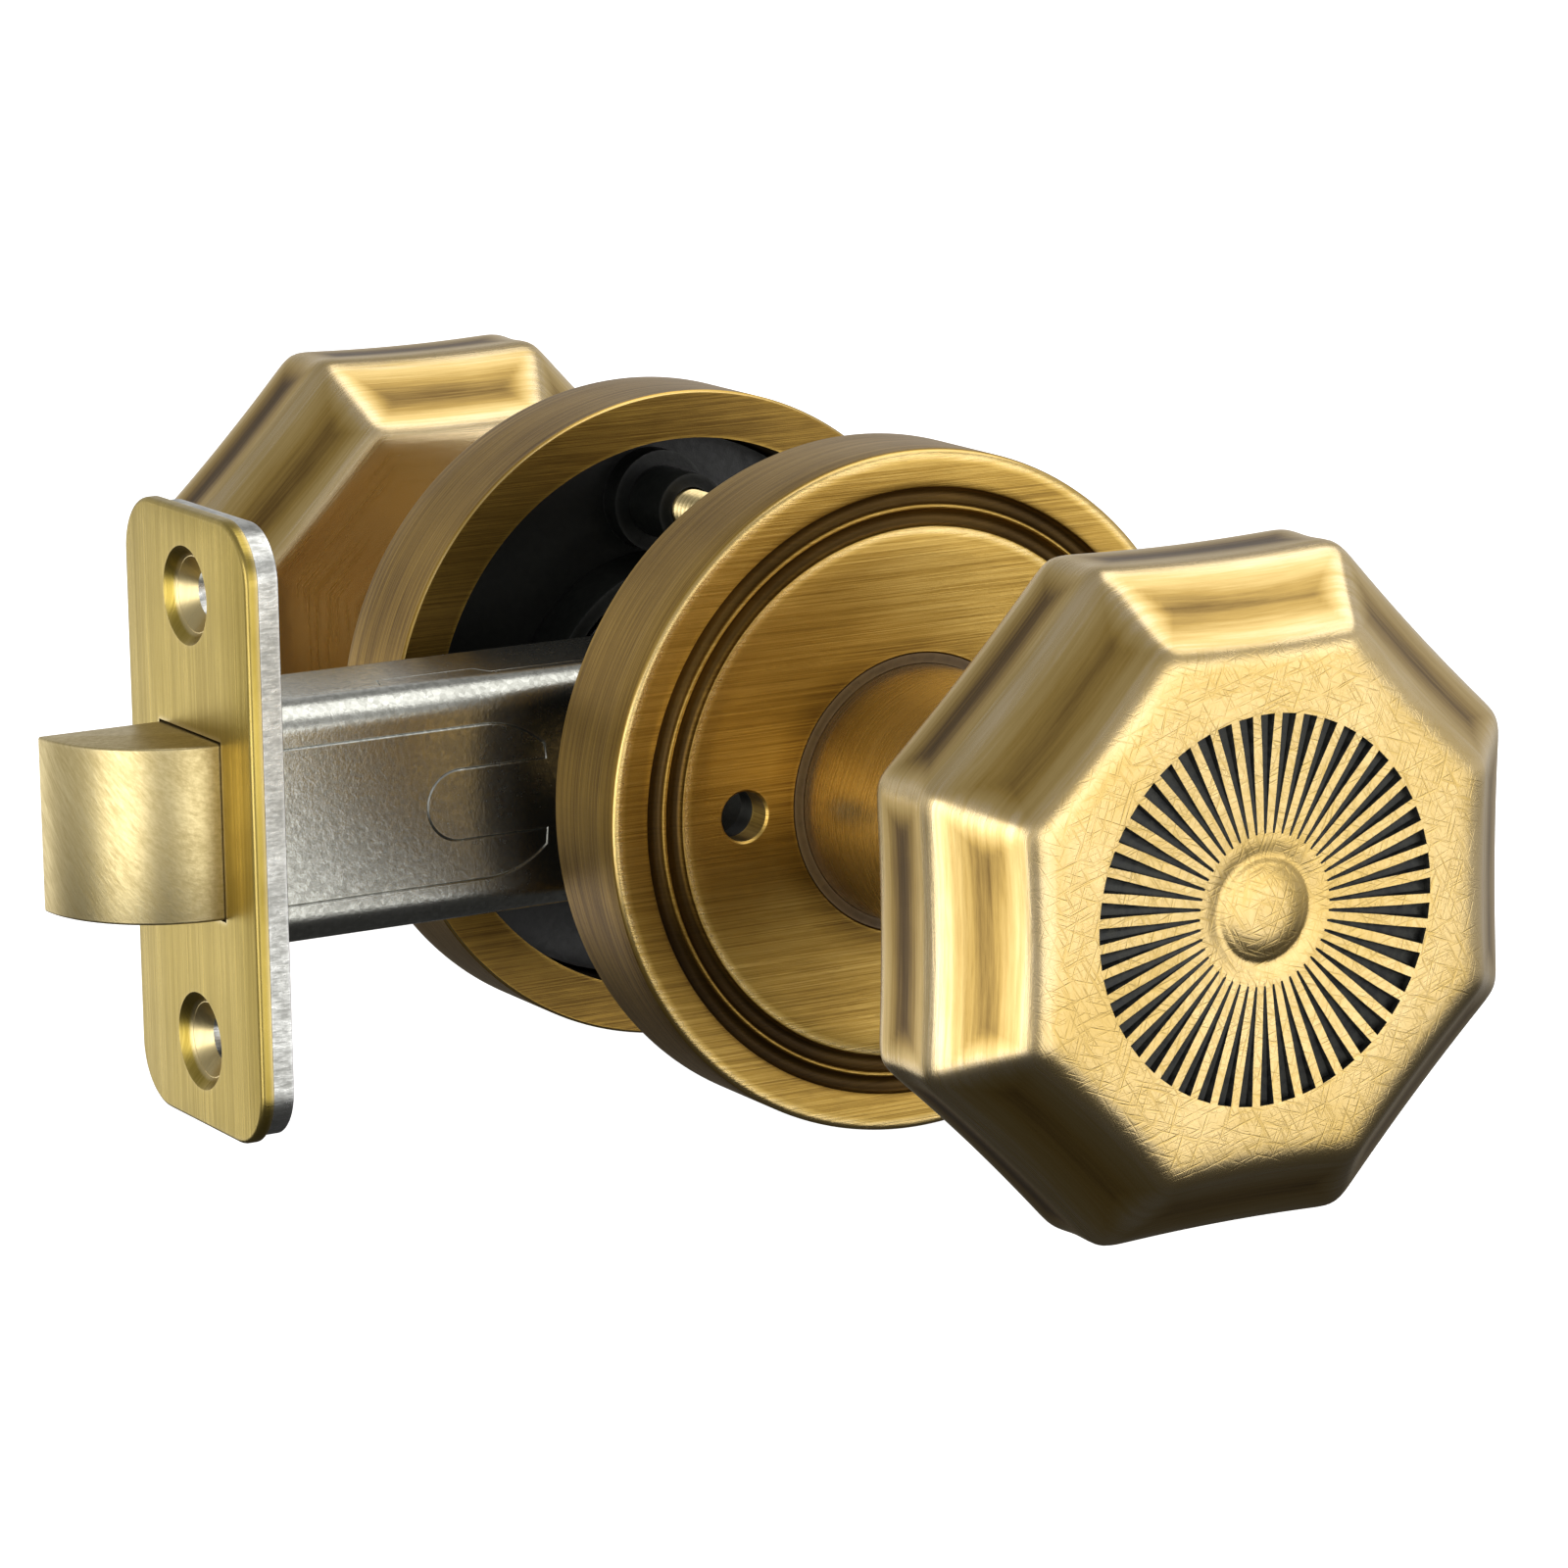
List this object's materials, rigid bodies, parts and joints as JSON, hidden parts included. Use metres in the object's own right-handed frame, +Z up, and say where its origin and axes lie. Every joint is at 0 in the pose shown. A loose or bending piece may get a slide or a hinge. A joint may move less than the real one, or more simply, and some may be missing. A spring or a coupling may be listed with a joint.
{
  "type": "privacy door knob set",
  "caption": "Octagonal door knobs on grooved round roses, with a spring latch, a faceplate and a push-pin privacy lock.",
  "frame": {"origin": "on the spindle axis, at the middle of the door's thickness", "axes": "+Z up; spindle along Y, outside of the room at -Y and inside at +Y; latch bolt points to -X"},
  "size_m": [0.1043, 0.1664, 0.0636],
  "materials": {
    "antique_brass": "brushed antique brass, darkened in the hollows and brightened on the ridges",
    "satin_brass": "satin brushed yellow brass",
    "zinc_steel": "zinc plated, lightly speckled",
    "zinc_casting": "raw grey casting",
    "spring_steel": "drawn spring wire",
    "black_enamel": "satin black enamel",
    "screw_brass": "yellow zinc plated",
    "bush_nylon": "dark nylon"
  },
  "bodies": {
    "housing": {"outside_rose": "antique_brass", "inside_rose": "antique_brass", "outside_neck_bush": "bush_nylon", "inside_neck_bush": "bush_nylon", "outside_mounting_plate": "black_enamel", "inside_mounting_plate": "black_enamel", "outside_return_spring": "spring_steel", "inside_return_spring": "spring_steel", "outside_screw_posts": "black_enamel", "inside_screw_sleeves": "black_enamel", "mounting_screws": "screw_brass", "faceplate": "satin_brass", "backing_plate": "zinc_steel", "latch_case": "zinc_steel", "case_end_cap": "zinc_steel", "bolt_guide": "bush_nylon", "spring_stop": "zinc_steel", "latch_spring": "spring_steel", "privacy_collar": "antique_brass"},
    "knobs": {"outside_knob": "antique_brass", "inside_knob": "antique_brass", "outside_drive_hub": "zinc_casting", "inside_drive_hub": "zinc_casting", "outside_retaining_ring": "spring_steel", "inside_retaining_ring": "spring_steel", "spindle": "zinc_steel", "latch_cam": "zinc_casting"},
    "bolt": {"latch_bolt": "satin_brass", "bolt_tail": "zinc_steel"},
    "retractor": {"retractor": "zinc_casting"},
    "privacy_push": {"privacy_button": "antique_brass", "privacy_pin": "spring_steel"}
  },
  "joints": [
    {"name": "knob_turn", "type": "hinge", "parent": "housing", "child": "knobs", "pos_m": [0, 0, 0], "axis": [0, 1, 0], "range_deg": [0, 90], "stiffness_Nm_per_rad": 0.12, "deforming": ["outside_return_spring", "inside_return_spring"]},
    {"name": "bolt_slide", "type": "slide", "parent": "housing", "child": "bolt", "axis": [1, 0, 0], "range_m": [0, 0.0122], "stiffness_N_per_m": 250, "springref_m": -0.01, "deforming": ["latch_spring"]},
    {"name": "retractor_slide", "type": "slide", "parent": "housing", "child": "retractor", "axis": [1, 0, 0], "range_m": [0, 0.0122]},
    {"name": "privacy_push", "type": "slide", "parent": "housing", "child": "privacy_push", "axis": [0, -1, 0], "range_m": [0, 0.005]}
  ],
  "couplings": [
    {"joint": "bolt_slide", "follows": "knob_turn", "m_per_rad": 0.0077413},
    {"joint": "retractor_slide", "follows": "knob_turn", "m_per_rad": 0.0077413}
  ]
}
